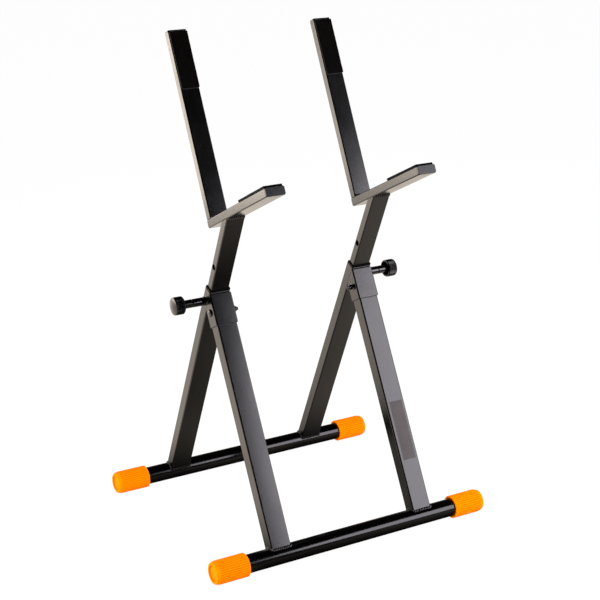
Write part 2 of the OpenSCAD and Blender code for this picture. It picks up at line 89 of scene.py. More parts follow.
def turn(degrees, axis):
    return Matrix.Rotation(math.radians(degrees), 4, axis)


def onSide(side):   # the left half is the right half in a mirror
    place = move(stand["legSpacing"] / 2)
    return place if sides[side] > 0 else Matrix.Scale(-1, 4, (1, 0, 0)) @ place


# Distances up the legs from the axes of the base tubes: of the pivot up the front leg, and of the open top,
# the plunger and the shelf arm up the rear leg
rearLean = math.radians(stand["rearLean"])
openAngle = math.radians(stand["frontLean"] + stand["rearLean"])
pivotAhead = stand["legDepth"]["rear"] / 2 + stand["foldGap"] + stand["legDepth"]["front"] / 2
pivotUp = (stand["footSpread"] * math.cos(rearLean) - pivotAhead) / math.sin(openAngle)
legTop = stand["footSpread"] * math.sin(rearLean) + pivotUp * math.cos(openAngle) + stand["legAbovePivot"]
plungerUp = legTop - stand["plungerDrop"]
shelfUp = legTop + stand["shelfRise"]

footY = stand["footSpread"] / 2
legPlaces = {"front": move(y=-footY, z=stand["tubeAxisZ"]) @ turn(-stand["frontLean"], "X"),
             "rear": move(y=footY, z=stand["tubeAxisZ"]) @ turn(stand["rearLean"], "X")}
pivotPlace = legPlaces["front"] @ move(z=pivotUp)
plungerPlace = legPlaces["rear"] @ move(z=plungerUp) @ turn(90, "Y")
shelfPlace = legPlaces["rear"] @ move(z=shelfUp) @ turn(-stand["rearLean"] - stand["shelfTilt"], "X")
armFace = stand["armDepth"] / 2   # from an arm's axis to its wide faces
backFace = stand["backArmBehind"] - armFace   # the back arm's front face, in the shelf arm's own frame


# Materials

def hexColour(code):   # sRGB hex to linear
    parts = [int(code[i:i + 2], 16) / 255 for i in (1, 3, 5)]
    return tuple(c / 12.92 if c <= 0.04045 else ((c + 0.055) / 1.055) ** 2.4 for c in parts) + (1.0,)


def addNode(tree, kind, inputs=None, **settings):   # a node given as an input means its first output in use
    node = tree.nodes.new(kind)
    for name, value in settings.items():
        setattr(node, name, value)
    for name, value in (inputs or {}).items():
        if isinstance(value, bpy.types.Node):
            value = next(socket for socket in value.outputs if socket.enabled)
        if isinstance(value, bpy.types.NodeSocket):
            tree.links.new(value, node.inputs[name])
        else:
            node.inputs[name].default_value = value
    return node


def newMaterial(name):   # an empty node tree and the object's own coordinates
    material = bpy.data.materials.new(name)
    material.use_nodes = True
    tree = material.node_tree
    tree.nodes.clear()
    place = addNode(tree, "ShaderNodeTexCoord").outputs["Object"]
    return material, tree, place


def perMm(size):   # noise scale that gives features of this size in mm
    return 1000 / size


def coating(name, look):
    # A baked coat or a film on steel tube. Most is black powder coat, sprayed on dry and melted in the
    # oven, so it has a fine orange peel and a soft, even gloss. Its real peel of about 0.8 mm is drawn
    # coarser so that it shows.
    material, tree, place = newMaterial(name)
    cloud = addNode(tree, "ShaderNodeTexNoise",
                    {"Vector": place, "Scale": perMm(look["cloudMm"]), "Detail": 3.0})
    speck = addNode(tree, "ShaderNodeTexNoise",
                    {"Vector": place, "Scale": perMm(look["speckMm"]), "Detail": 2.0})
    peel = addNode(tree, "ShaderNodeTexNoise",
                   {"Vector": place, "Scale": perMm(look["peelMm"]), "Detail": 2.0, "Roughness": 0.4})
    tone = addNode(tree, "ShaderNodeMix",
                   {"Factor": cloud, "A": hexColour(look["dark"]), "B": hexColour(look["light"])},
                   data_type="RGBA")
    least, most = look["roughness"]
    rough = addNode(tree, "ShaderNodeMapRange",
                    {"Value": cloud, "From Min": 0.3, "From Max": 0.7, "To Min": least, "To Max": most})
    dust = addNode(tree, "ShaderNodeMapRange",
                   {"Value": speck, "From Min": 0.62, "From Max": 0.8, "To Min": 0.0,
                    "To Max": look["dust"]})
    # Charged powder hardly reaches an inner corner, so the coat is thin and dull there.
    corner = addNode(tree, "ShaderNodeAmbientOcclusion", {"Distance": 0.0025})
    dull = addNode(tree, "ShaderNodeMapRange",
                   {"Value": corner.outputs["AO"], "From Min": 0.9, "From Max": 0.5, "To Min": 0.0,
                    "To Max": look["dull"]})
    for extra in (dust, dull):
        rough = addNode(tree, "ShaderNodeMath", {0: rough, 1: extra}, operation="ADD")
    # Drawn tube is never quite flat: its faces crown a little across the middle of each side frame.
    across = addNode(tree, "ShaderNodeSeparateXYZ", {0: place}).outputs["X"]
    aside = addNode(tree, "ShaderNodeMath", {0: across}, operation="ABSOLUTE")
    aside = addNode(tree, "ShaderNodeMath", {0: aside, 1: stand["legSpacing"] / 2 * mm},
                    operation="SUBTRACT")
    crown = addNode(tree, "ShaderNodeMath", {0: aside, 1: 2.0}, operation="POWER")
    crown = addNode(tree, "ShaderNodeMath", {0: crown, 1: -look["crown"]}, operation="MULTIPLY")
    rolled = addNode(tree, "ShaderNodeBump", {"Height": crown, "Strength": 1.0, "Distance": 1.0})
    bump = addNode(tree, "ShaderNodeBump",
                   {"Height": peel, "Strength": look["peel"], "Distance": 0.0004, "Normal": rolled})
    shader = addNode(tree, "ShaderNodeBsdfPrincipled",
                     {"Base Color": tone, "Roughness": rough, "IOR": look["ior"], "Normal": bump})
    addNode(tree, "ShaderNodeOutputMaterial", {"Surface": shader})
    return material


def mouldedPlastic(name, look):
    # Injection-moulded plastic from a spark-eroded mould: a fine even grain of about 0.15 mm, drawn at
    # grainMm so that it shows, and faint clouding where the melt cooled unevenly.
    material, tree, place = newMaterial(name)
    cloud = addNode(tree, "ShaderNodeTexNoise",
                    {"Vector": place, "Scale": perMm(look["cloudMm"]), "Detail": 2.0})
    grain = addNode(tree, "ShaderNodeTexNoise",
                    {"Vector": place, "Scale": perMm(look["grainMm"]), "Detail": 3.0})
    tone = addNode(tree, "ShaderNodeMix",
                   {"Factor": cloud, "A": hexColour(look["dark"]), "B": hexColour(look["light"])},
                   data_type="RGBA")
    least, most = look["roughness"]
    rough = addNode(tree, "ShaderNodeMapRange",
                    {"Value": grain, "From Min": 0.3, "From Max": 0.7, "To Min": least, "To Max": most})
    bump = addNode(tree, "ShaderNodeBump", {"Height": grain, "Strength": look["grain"], "Distance": 0.0002})
    # Painted shade: little light comes back out of a narrow groove, so ambient occlusion darkens the colour
    # there.
    groove = addNode(tree, "ShaderNodeAmbientOcclusion", {"Distance": 0.003})
    groove = addNode(tree, "ShaderNodeMapRange",
                     {"Value": groove.outputs["AO"], "From Min": 0.4, "From Max": 0.95, "To Min": 0.0,
                      "To Max": 1.0})
    deep = addNode(tree, "ShaderNodeMix", {"Factor": groove, "A": hexColour(look["grooveShade"]), "B": tone},
                   data_type="RGBA")
    shader = addNode(tree, "ShaderNodeBsdfPrincipled",
                     {"Base Color": deep, "Roughness": rough, "IOR": look["ior"], "Normal": bump,
                      "Specular Tint": hexColour(look["gloss"]), "Subsurface Weight": look["subsurface"],
                      "Subsurface Radius": (1.0, 0.35, 0.1), "Subsurface Scale": 0.002})
    addNode(tree, "ShaderNodeOutputMaterial", {"Surface": shader})
    return material


def foamRubber(name, look):
    # Closed-cell EVA foam, split from a block: cut cells of about 0.5 mm, drawn at cellMm so that they show,
    # leave a dull, pitted face.
    material, tree, place = newMaterial(name)
    cells = addNode(tree, "ShaderNodeTexVoronoi", {"Vector": place, "Scale": perMm(look["cellMm"])})
    cloud = addNode(tree, "ShaderNodeTexNoise",
                    {"Vector": place, "Scale": perMm(look["cloudMm"]), "Detail": 4.0, "Roughness": 0.6})
    tone = addNode(tree, "ShaderNodeValToRGB", {"Fac": cloud})
    for stop, position, colour in zip(tone.color_ramp.elements, (0.32, 0.72), (look["dark"], look["light"])):
        stop.position = position
        stop.color = hexColour(colour)
    height = addNode(tree, "ShaderNodeMath", {0: cells, 1: cloud}, operation="ADD")
    bump = addNode(tree, "ShaderNodeBump", {"Height": height, "Strength": look["pits"], "Distance": 0.0004})
    shader = addNode(tree, "ShaderNodeBsdfPrincipled",
                     {"Base Color": tone, "Roughness": look["roughness"], "IOR": look["ior"],
                      "Normal": bump})
    addNode(tree, "ShaderNodeOutputMaterial", {"Surface": shader})
    return material


def platedSteel(name, look):
    # Zinc-plated steel: a thin metal skin, finely clouded by the plating bath, with turning marks under it.
    material, tree, place = newMaterial(name)
    cloud = addNode(tree, "ShaderNodeTexNoise",
                    {"Vector": place, "Scale": perMm(look["cloudMm"]), "Detail": 3.0})
    fine = addNode(tree, "ShaderNodeTexNoise",
                   {"Vector": place, "Scale": perMm(look["grainMm"]), "Detail": 2.0})
    tone = addNode(tree, "ShaderNodeMix",
                   {"Factor": cloud, "A": hexColour(look["dark"]), "B": hexColour(look["light"])},
                   data_type="RGBA")
    least, most = look["roughness"]
    rough = addNode(tree, "ShaderNodeMapRange",
                    {"Value": cloud, "From Min": 0.3, "From Max": 0.7, "To Min": least, "To Max": most})
    bump = addNode(tree, "ShaderNodeBump", {"Height": fine, "Strength": 0.12, "Distance": 0.0002})
    shader = addNode(tree, "ShaderNodeBsdfPrincipled",
                     {"Base Color": tone, "Metallic": 1.0, "Roughness": rough, "Normal": bump})
    addNode(tree, "ShaderNodeOutputMaterial", {"Surface": shader})
    return material


# Satin powder coat: almost no colour of its own, so its brightness is what it mirrors
satinBlack = coating("satin_black_powder_coat", {
    "dark": "#000000", "light": "#030303", "cloudMm": 60, "speckMm": 1.2, "peelMm": 1.6, "peel": 0.10,
    "roughness": (0.17, 0.22), "dust": 0.12, "dull": 0.5, "ior": 1.5, "crown": 0.42})
# The same coat runs a little on the ripples of a weld, which leaves it glossier and bumpier
weldBlack = coating("powder_coat_over_weld", {
    "dark": "#020202", "light": "#050505", "cloudMm": 4, "speckMm": 0.8, "peelMm": 1.2, "peel": 0.3,
    "roughness": (0.08, 0.16), "dust": 0.05, "dull": 0.0, "ior": 1.5, "crown": 0.0})
# Stoved enamel flows out wet before it sets: glossier, with longer and flatter waves
glossBlack = coating("gloss_black_enamel", {
    "dark": "#010101", "light": "#030202", "cloudMm": 80, "speckMm": 1.5, "peelMm": 3.0, "peel": 0.05,
    "roughness": (0.11, 0.16), "dust": 0.05, "dull": 0.5, "ior": 1.43, "crown": 0.0})
# Printed polyester film, left bare here: warm dark brown, dull, and smooth apart from the tube under it
labelFilm = coating("bare_label_film", {
    "dark": "#1c100d", "light": "#24150f", "cloudMm": 30, "speckMm": 1.0, "peelMm": 5.0, "peel": 0.03,
    "roughness": (0.3, 0.36), "dust": 0.1, "dull": 0.0, "ior": 1.4, "crown": 0.42})

# Soft PVC rubber: a full, even orange with hardly any gloss, and painted shade that makes it redder down in
# the grooves
orangeRubber = mouldedPlastic("orange_pvc_rubber", {
    "dark": "#f87900", "light": "#fd8000", "grooveShade": "#a83c00", "gloss": "#ffa000", "cloudMm": 22,
    "grainMm": 0.9, "grain": 0.12, "roughness": (0.55, 0.65), "ior": 1.1, "subsurface": 0.05})
# Four black mouldings: satin ABS, waxy polyethylene, and nylon with a polished neck and a glossy head
# Their grooves take painted shade in black
blackMould = {"grooveShade": "#000000", "cloudMm": 12, "grainMm": 0.7, "subsurface": 0.0}
blackPlastic = mouldedPlastic("black_abs_plastic", {
    **blackMould, "dark": "#040404", "light": "#080809", "gloss": "#ffffff", "grain": 0.1,
    "roughness": (0.26, 0.34), "ior": 1.5})
bushPlastic = mouldedPlastic("matte_black_polyethylene", {
    **blackMould, "dark": "#010101", "light": "#030303", "gloss": "#606060", "grain": 0.2,
    "roughness": (0.55, 0.65), "ior": 1.4})
neckPlastic = mouldedPlastic("polished_black_nylon", {
    **blackMould, "dark": "#020202", "light": "#050505", "gloss": "#ffffff", "grain": 0.02,
    "roughness": (0.09, 0.13), "ior": 1.55})
knobPlastic = mouldedPlastic("glossy_black_nylon", {
    **blackMould, "dark": "#020202", "light": "#050505", "gloss": "#c8c8c8", "grain": 0.06,
    "roughness": (0.12, 0.18), "ior": 1.5})

# Foam soaks up light in its cut cells. Zinc plate mirrors, more sharply on the blackened pieces.
darkFoam = foamRubber("black_eva_foam", {
    "dark": "#010000", "light": "#040201", "cellMm": 1.1, "cloudMm": 14, "pits": 0.45, "roughness": 0.6,
    "ior": 1.14})
blackZinc = platedSteel("black_zinc_steel", {
    "dark": "#3a3a3c", "light": "#48484a", "cloudMm": 5, "grainMm": 0.8, "roughness": (0.14, 0.22)})
brightZinc = platedSteel("bright_zinc_steel", {
    "dark": "#a9adb2", "light": "#c6cacf", "cloudMm": 6, "grainMm": 0.8, "roughness": (0.22, 0.34)})

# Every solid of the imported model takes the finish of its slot.
slotMaterials = {"satin_black_coat": satinBlack, "gloss_black_coat": glossBlack,
                 "orange_rubber": orangeRubber, "black_plastic": blackPlastic, "dark_foam": darkFoam,
                 "blackened_steel": blackZinc, "bright_steel": brightZinc}
for part in frame["record"]["subparts"]:
    solid = frame["nodes"][part["node"]].data
    solid.materials.clear()
    solid.materials.append(slotMaterials[part["material_slot"]])
print("materials made")


# Making and finishing a piece

def quarter(step):   # the angles of a quarter turn, step degrees apart
    return [math.radians(d) for d in range(0, 91, step)]


def lathe(profile, steps=96, closed=False):   # (radius, height) pairs turned about Z
    bm = bmesh.new()
    ring = [bm.verts.new((r, 0, h)) for r, h in profile]
    pairs = list(zip(ring, ring[1:])) + ([(ring[-1], ring[0])] if closed else [])
    for a, b in pairs:
        bm.edges.new((a, b))
    bmesh.ops.spin(bm, geom=bm.verts[:] + bm.edges[:], cent=(0, 0, 0), axis=(0, 0, 1), angle=math.tau,
                   steps=steps, use_merge=True)
    bmesh.ops.remove_doubles(bm, verts=bm.verts, dist=1e-4)
    bmesh.ops.recalc_face_normals(bm, faces=bm.faces)
    return bm


def cutGrooves(bm, shape, share):   # grooves along Z; share says how much of the depth a place gets, 0 to 1
    for v in bm.verts:
        depth = shape["ribDepth"] * share(v.co)
        if depth > 0:
            wave = 0.5 + 0.5 * math.cos(shape["ribs"] * math.atan2(v.co.y, v.co.x))
            v.co.xy *= 1 - depth * wave ** shape["ribSharpness"] / v.co.xy.length


def box(size, centre):   # an upright box in mm
    bm = bmesh.new()
    bmesh.ops.create_cube(bm, size=1)
    bmesh.ops.scale(bm, vec=size, verts=bm.verts)
    bmesh.ops.translate(bm, vec=centre, verts=bm.verts)
    return bm


def soften(bm, width, segments=2, least=30):   # rounds every edge sharper than least degrees
    sharp = [e for e in bm.edges if len(e.link_faces) == 2 and e.calc_face_angle() > math.radians(least)]
    bmesh.ops.bevel(bm, geom=sharp, offset=width, segments=segments, profile=0.5, affect="EDGES",
                    material=-1, clamp_overlap=True)
    return bm


def solidCopy(node):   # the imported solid's mesh in mm, merged and with its flat faces whole
    bm = bmesh.new()
    bm.from_mesh(frame["nodes"][node].data)
    bmesh.ops.scale(bm, vec=(1 / mm, 1 / mm, 1 / mm), verts=bm.verts)
    bmesh.ops.remove_doubles(bm, verts=bm.verts, dist=0.002)
    bmesh.ops.dissolve_limit(bm, angle_limit=math.radians(0.5), verts=bm.verts, edges=bm.edges)
    bmesh.ops.connect_verts_concave(bm, faces=bm.faces)   # a face that runs round an opening is cut up
    return bm


def toMesh(bm, name):   # the finished mesh; the working one is freed
    mesh = bpy.data.meshes.new(name)
    bm.to_mesh(mesh)
    bm.free()
    return mesh


def addMesh(whole, mesh, place):   # adds a mesh in its place; in a mirror its faces are turned outward again
    mesh.transform(place)
    if place.determinant() < 0:
        mesh.flip_normals()
    whole.from_mesh(mesh)
    bpy.data.meshes.remove(mesh)


def joinSides(make, place):   # one mesh that holds the right piece and its mirror image
    whole = bmesh.new()
    for side in sides:
        addMesh(whole, toMesh(make(), "half"), onSide(side) @ place)
    return whole


def finishPiece(name, bm, place, body, material, replaced=(), smooth=35):
    bmesh.ops.transform(bm, matrix=Matrix.Scale(mm, 4) @ place, verts=bm.verts)
    if place.determinant() < 0:
        bmesh.ops.reverse_faces(bm, faces=bm.faces)
    mesh = toMesh(bm, name)
    mesh.polygons.foreach_set("use_smooth", [True] * len(mesh.polygons))
    mesh.set_sharp_from_angle(angle=math.radians(smooth))
    mesh.materials.append(material)
    piece = bpy.data.objects.new(name, mesh)
    scene.collection.objects.link(piece)
    even = piece.modifiers.new("even_faces", "WEIGHTED_NORMAL")   # flat faces stay flat at rounded edges
    even.keep_sharp = True
    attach(piece, body)
    if replaced:
        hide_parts(*replaced)
    return piece


# Foot caps, pushed onto the ends of the base tubes

footCap = {"radius": 20.5, "length": 61.5, "bore": 16, "mouth": 0.7, "endThickness": 4, "lip": 1.2,
           "ribs": 32, "ribDepth": 1.0, "ribSharpness": 3, "ribSteps": 10, "ribFrom": 2.6, "ribTo": 58.2,
           "margin": 0.6, "fadeIn": 0.9, "fadeOut": 3, "taperLength": 9, "taper": 1.8, "taperPower": 1.6,
           "taperRings": 6, "rounding": 1.5, "recessRadius": 14, "recessDepth": 2.4, "recessRim": 0.4}


def makeFootCap():
    c = footCap
    r, end, rounding = c["radius"], c["length"], c["rounding"]
    bottom = end - c["endThickness"]
    inside = [(0, bottom), (c["bore"], bottom), (c["bore"], c["mouth"]), (c["bore"] + c["mouth"], 0)]
    lip = [(r - c["lip"] * (1 - math.sin(a)), c["lip"] * (1 - math.cos(a))) for a in quarter(18)]
    taperFrom = end - c["taperLength"]
    barrel = [(r, c["ribFrom"] - c["margin"]), (r, c["ribFrom"]), (r, c["ribFrom"] + c["fadeIn"]),
              (r, taperFrom)]
    for i in range(1, c["taperRings"]):   # the taper starts gently, like the end of a barrel
        along = i / c["taperRings"]
        barrel.append((r - c["taper"] * along ** c["taperPower"],
                       taperFrom + (end - rounding - taperFrom) * along))
    faceR = r - c["taper"] - rounding
    arc = [(faceR + rounding * math.cos(a), end - rounding * (1 - math.sin(a))) for a in quarter(18)]
    edge, rim, sunk = c["recessRadius"], c["recessRim"], end - c["recessDepth"]
    recess = [(edge + rim, end), (edge, end - 0.75 * rim), (edge - rim / 2, sunk + rim),
              (edge - 1.5 * rim, sunk), (0, sunk)]
    bm = lathe(inside + lip + barrel + arc + recess, steps=c["ribs"] * c["ribSteps"])

    def share(co):   # the grooves are on the outside and fade out at both ends of the ribbed part
        if co.xy.length < (c["bore"] + r) / 2:
            return 0
        rise, fall = (co.z - c["ribFrom"]) / c["fadeIn"], (c["ribTo"] - co.z) / c["fadeOut"]
        return max(0, min(1, rise, fall))

    cutGrooves(bm, c, share)
    return bm


mouthX = stand["tubeLen"] / 2 + footCap["endThickness"] - footCap["length"]
for row, y in (("front", -footY), ("rear", footY)):
    for side, sign in sides.items():
        place = move(sign * mouthX, y, stand["tubeAxisZ"]) @ turn(sign * 90, "Y")
        finishPiece(f"{row}_foot_cap_{side}_ribbed", makeFootCap(), place, f"{row}_frame",
                    orangeRubber, [f"{row}_foot_cap_{side}"], smooth=50)
print("foot caps made")


# Plungers: knob, housing and boss. The knob's edges and corners are lists of points, each given by how far
# it lies from the side and from the end that meet there.

knob = {"neckFrom": 46.3, "neckRadius": 7.4, "neckEdge": 0.9, "rod": 2.1, "grip": 12, "headFrom": 63.8,
        "headTo": 82.8, "headRadius": 15.75, "crown": 60, "crownRings": (0, 4, 8, 11),
        "frontEdge": [(1.6, 0), (0.9, 0.2), (0.35, 0.7), (0.05, 1.5), (0, 2.2)],
        "backEdge": [(0, 1.6), (0.4, 0.6), (1.1, 0)], "hubCorner": [(0.8, 0), (0, 1)], "hubTop": (0.2, 1),
        "neckCorner": [(0.2, 0.6), (0, 1.6)], "polishedFrom": 0.8, "rim": 2.8, "rimEdge": 0.3, "draft": 0.5,
        "hollow": 9, "hub": 8, "ribs": 40, "ribDepth": 0.8, "ribSharpness": 1.5, "ribSteps": 6,
        "margin": 0.6}


def makeKnob():
    k = knob
    r, back, face = k["headRadius"], k["headFrom"], k["headTo"]
    rings = (*k["crownRings"], r - k["frontEdge"][0][0])
    crown = [(x, face - (k["crown"] - math.sqrt(k["crown"] ** 2 - x * x))) for x in rings]
    edge = crown[-1][1]
    front = [(r - inset, edge - drop) for inset, drop in k["frontEdge"][1:]]
    rear = [(r - inset, back + rise) for inset, rise in k["backEdge"]]
    gripFrom = back + k["backEdge"][0][1] + k["margin"]
    gripTo = edge - k["frontEdge"][-1][1] - k["margin"]
    rim, deep = r - k["rim"], back + k["hollow"]
    hollow = [(rim + k["rimEdge"], back), (rim, back + k["rimEdge"]), (rim - k["draft"], deep)]
    hollow += [(k["hub"] + aside, deep - up) for aside, up in k["hubCorner"]]
    hollow.append((k["hub"] - k["hubTop"][0], back + k["hubTop"][1]))
    neckR, neckEnd, rodEnd = k["neckRadius"], k["neckFrom"], k["neckFrom"] + k["grip"]
    neck = [(neckR + aside, back - down) for aside, down in k["neckCorner"]]
    neck += [(neckR, neckEnd + k["neckEdge"]), (neckR - k["neckEdge"], neckEnd), (k["rod"], neckEnd),
             (k["rod"], rodEnd), (0, rodEnd)]
    profile = crown + front + [(r, gripTo), (r, gripFrom)] + rear + hollow + neck
    bm = lathe(profile, steps=k["ribs"] * k["ribSteps"])
    slack = k["margin"] / 4   # takes in the two rings of the grip and no other
    cutGrooves(bm, k, lambda co: gripFrom - slack < co.z < gripTo + slack and co.xy.length > r - slack)
    for f in bm.faces:   # the neck comes polished from the mould
        f.material_index = 1 if f.calc_center_median().z < back - k["polishedFrom"] else 0
    return bm


# Outlines of the turned pieces, with the thread drawn plain: (radius, distance from the leg's centre plane)
housing = [(4.55, 21), (4.55, 43), (2.15, 43), (2.15, 46), (6.5, 46), (7.1, 45.6), (7.4, 45), (7.4, 26.2),
           (6.9, 25.4), (5.9, 25.2), (5.9, 21.4), (5.5, 21)]
boss = [(6, 20), (6, 25), (7.3, 25), (7.8, 24.7), (8, 24.1), (8, 21.2), (8.4, 20.5), (9.1, 20.1), (9.4, 20)]

for side in sides:
    place = onSide(side) @ plungerPlace
    ribbed = finishPiece(f"plunger_knob_{side}_ribbed", makeKnob(), place, f"plunger_{side}",
                         knobPlastic, [f"plunger_knob_{side}"], smooth=40)
    ribbed.data.materials.append(neckPlastic)
    finishPiece(f"plunger_housing_{side}_turned", lathe(housing, steps=72, closed=True), place, "rear_frame",
                blackZinc, [f"plunger_housing_{side}"])
    finishPiece(f"plunger_boss_{side}_welded", lathe(boss, steps=72, closed=True), place, "rear_frame",
                weldBlack, [f"plunger_boss_{side}"])
print("plungers made")


# Return springs, which on the stand are squeezed against the housing's end as the pin is pulled; here each
# keeps its imported shape

for side, sign in sides.items():
    node = f"plunger_spring_{side}"
    low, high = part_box(node)
    length = high[0] - low[0]
    spring = finishPiece(f"{node}_coiled", solidCopy(node), Matrix(), "rear_frame",
                         brightZinc, [node], smooth=60)
    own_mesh(spring)
print("springs made")


# Pivots: bolt, washer, lock nut and bracket

bolt = {"shank": 3, "length": 53, "point": 0.6, "head": 6.6, "edge": 0.6, "bevel": 0.2, "height": 3.4,
        "fullness": 0.65, "neck": 6, "neckHeight": 1.6}
lockNut = {"cornerRadius": 5.774, "height": 4.4, "rounding": 0.45,
           "collar": [(3.05, 4.3), (4.6, 4.3), (4.6, 5.6), (4.3, 6.0), (3.7, 6.2), (3.05, 6.2)]}
washer = {"bore": 3.1, "radius": 6, "thickness": 1.6, "chamfer": 0.3}
bracketEdge = 0.35


def makeBolt():   # smooth domed head on a square neck
    b = bolt
    tip, bevel = -b["length"], b["bevel"]
    shank = [(0, tip), (b["shank"] - b["point"], tip), (b["shank"], tip + b["point"]), (b["shank"], 0)]
    rim = [(b["head"] - bevel, 0), (b["head"], bevel), (b["head"], b["edge"] - bevel / 2)]
    dome = [(b["head"] * math.cos(a) ** b["fullness"], b["edge"] + (b["height"] - b["edge"]) * math.sin(a))
            for a in (math.radians(d) for d in (10, 22, 36, 52, 66, 78, 85))]
    bm = lathe(shank + rim + dome + [(0, b["height"])], steps=48)
    neck = box((b["neck"], b["neck"], b["neckHeight"]), (0, 0, -b["neckHeight"] / 2))
    addMesh(bm, toMesh(neck, "neck"), Matrix())
    return bm


def makeLockNut():   # hexagon with rounded corners, round collar and the plastic ring that locks it
    n = lockNut
    r = n["cornerRadius"]
    bm = bmesh.new()
    bmesh.ops.create_cone(bm, cap_ends=True, segments=6, radius1=r, radius2=r, depth=n["height"])
    bmesh.ops.translate(bm, vec=(0, 0, n["height"] / 2), verts=bm.verts)
    soften(bm, n["rounding"], segments=3)
    addMesh(bm, toMesh(lathe(n["collar"], steps=48, closed=True), "collar"), Matrix())
    return bm


def makeWasher():
    r, t, c = washer["radius"], washer["thickness"], washer["chamfer"]
    bore = [(washer["bore"], 0), (washer["bore"], t)]
    return lathe(bore + [(r - c, t), (r, t - c), (r, c), (r - c, 0)], steps=48, closed=True)


for side in sides:
    place = onSide(side) @ pivotPlace @ move(stand["bracketHalf"]) @ turn(90, "Y")
    finishPiece(f"pivot_bolt_{side}_domed", makeBolt(), place, "rear_frame", blackZinc,
                [f"pivot_bolt_{side}"])
    finishPiece(f"pivot_bracket_{side}_folded", soften(solidCopy(f"pivot_bracket_{side}"), bracketEdge),
                Matrix(), "rear_frame", satinBlack, [f"pivot_bracket_{side}"])
nutPlace = pivotPlace @ move(-stand["bracketHalf"] - washer["thickness"]) @ turn(-90, "Y")
finishPiece("pivot_lock_nuts_collared", joinSides(makeLockNut, nutPlace), Matrix(), "rear_frame",
            blackZinc, ["pivot_lock_nuts"])
washerPlace = pivotPlace @ move(-stand["bracketHalf"]) @ turn(-90, "Y")
finishPiece("pivot_washers_rounded", joinSides(makeWasher, washerPlace), Matrix(), "rear_frame",
            brightZinc, ["pivot_washers"])
print("pivots made")


# Rear legs: the sawn top end is deburred to a small chamfer outside

sawnEnd = {"chamfer": 0.9, "reach": 0.05}


def makeRearLeg(side):
    bm = solidCopy(f"rear_leg_{side}")
    toLeg = (onSide(side) @ legPlaces["rear"]).inverted()
    outerX = (stand["legWidth"]["rear"] - stand["legWall"]) / 2
    outerY = (stand["legDepth"]["rear"] - stand["legWall"]) / 2

    def onOuterRim(v):
        p = toLeg @ v.co
        return (abs(p.x) > outerX or abs(p.y) > outerY) and abs(p.z - legTop) < sawnEnd["reach"]

    rim = [e for e in bm.edges if all(onOuterRim(v) for v in e.verts)
           and e.calc_face_angle(0) > math.radians(60)]
    bmesh.ops.bevel(bm, geom=rim, offset=sawnEnd["chamfer"], segments=1, profile=0.5, affect="EDGES",
                    material=-1)
    return bm


for side in sides:
    finishPiece(f"rear_leg_{side}_deburred", makeRearLeg(side), Matrix(), "rear_frame",
                satinBlack, [f"rear_leg_{side}"])
print("rear legs made")


# Plugs, bushes and glides with their moulded edges

edgeWidths = {"shelf_front_plug": 0.8, "shelf_rear_plug": 0.8, "back_arm_plug": 0.8, "guide_bush": 0.5,
              "front_leg_plug": 0.4, "post_glide": 0.6}
for name, width in edgeWidths.items():
    for side in sides:
        node = f"{name}_{side}"
        body = frame["nodes"][node]["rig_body"]
        finishPiece(f"{node}_moulded", soften(solidCopy(node), width), Matrix(), body,
                    bushPlastic if name == "guide_bush" else blackPlastic, [node])
print("plugs, bushes and glides made")


# Foam pads

pad = {"width": 33.5, "thickness": 4, "edge": 0.7, "shelfLength": 96, "backLength": 100, "grid": 2.5,
       "waver": 0.192, "waverScale": 0.09}
noise.seed_set(1)   # left alone, it would come from the clock


def makePad(length, seed):   # a die-cut strip lying on XY, centred across, from zero along +Y
    bm = box((pad["width"], length, pad["thickness"]), (0, length / 2, pad["thickness"] / 2))
    soften(bm, pad["edge"], segments=3)
    for normal, start, span in ((Vector((1, 0, 0)), -pad["width"] / 2, pad["width"]),
                                (Vector((0, 1, 0)), 0, length)):
        for i in range(1, int(span / pad["grid"])):
            bmesh.ops.bisect_plane(bm, geom=bm.verts[:] + bm.edges[:] + bm.faces[:],
                                   plane_co=normal * (start + pad["grid"] * i), plane_no=normal, dist=0.01)
    for v in bm.verts:   # foam is never quite flat or straight, but its back lies on the tube
        lift = v.co.z / pad["thickness"]
        shake = noise.noise_vector(v.co * pad["waverScale"] + Vector((seed, 0, 0)))
        v.co += Vector((shake.x, shake.y, shake.z * lift)) * pad["waver"]
    return bm


endGap = stand["plugCap"] + stand["padInset"]   # from the end of an arm to its pad
padPlaces = {"shelf": shelfPlace @ move(y=endGap - stand["shelfFront"], z=armFace),
             "back": shelfPlace @ move(y=backFace, z=stand["backArmTop"] - endGap) @ turn(90, "X")
             @ Matrix.Scale(-1, 4, (0, 1, 0))}
for side, sign in sides.items():
    for kind, length, seed in (("shelf", pad["shelfLength"], sign), ("back", pad["backLength"], 5 + sign)):
        strip = finishPiece(f"{kind}_pad_{side}_foam", makePad(length, seed), onSide(side) @ padPlaces[kind],
                            f"upper_{side}", darkFoam, [f"{kind}_pad_{side}"], smooth=60)
print("pads made")


# Weld beads

bead = {"radius": 3.3, "pitch": 3.6, "step": 0.5, "ripple": 0.4, "spread": 0.14, "flat": 0.5,
        "armLength": 33, "startSize": 0.45, "startLength": 3}


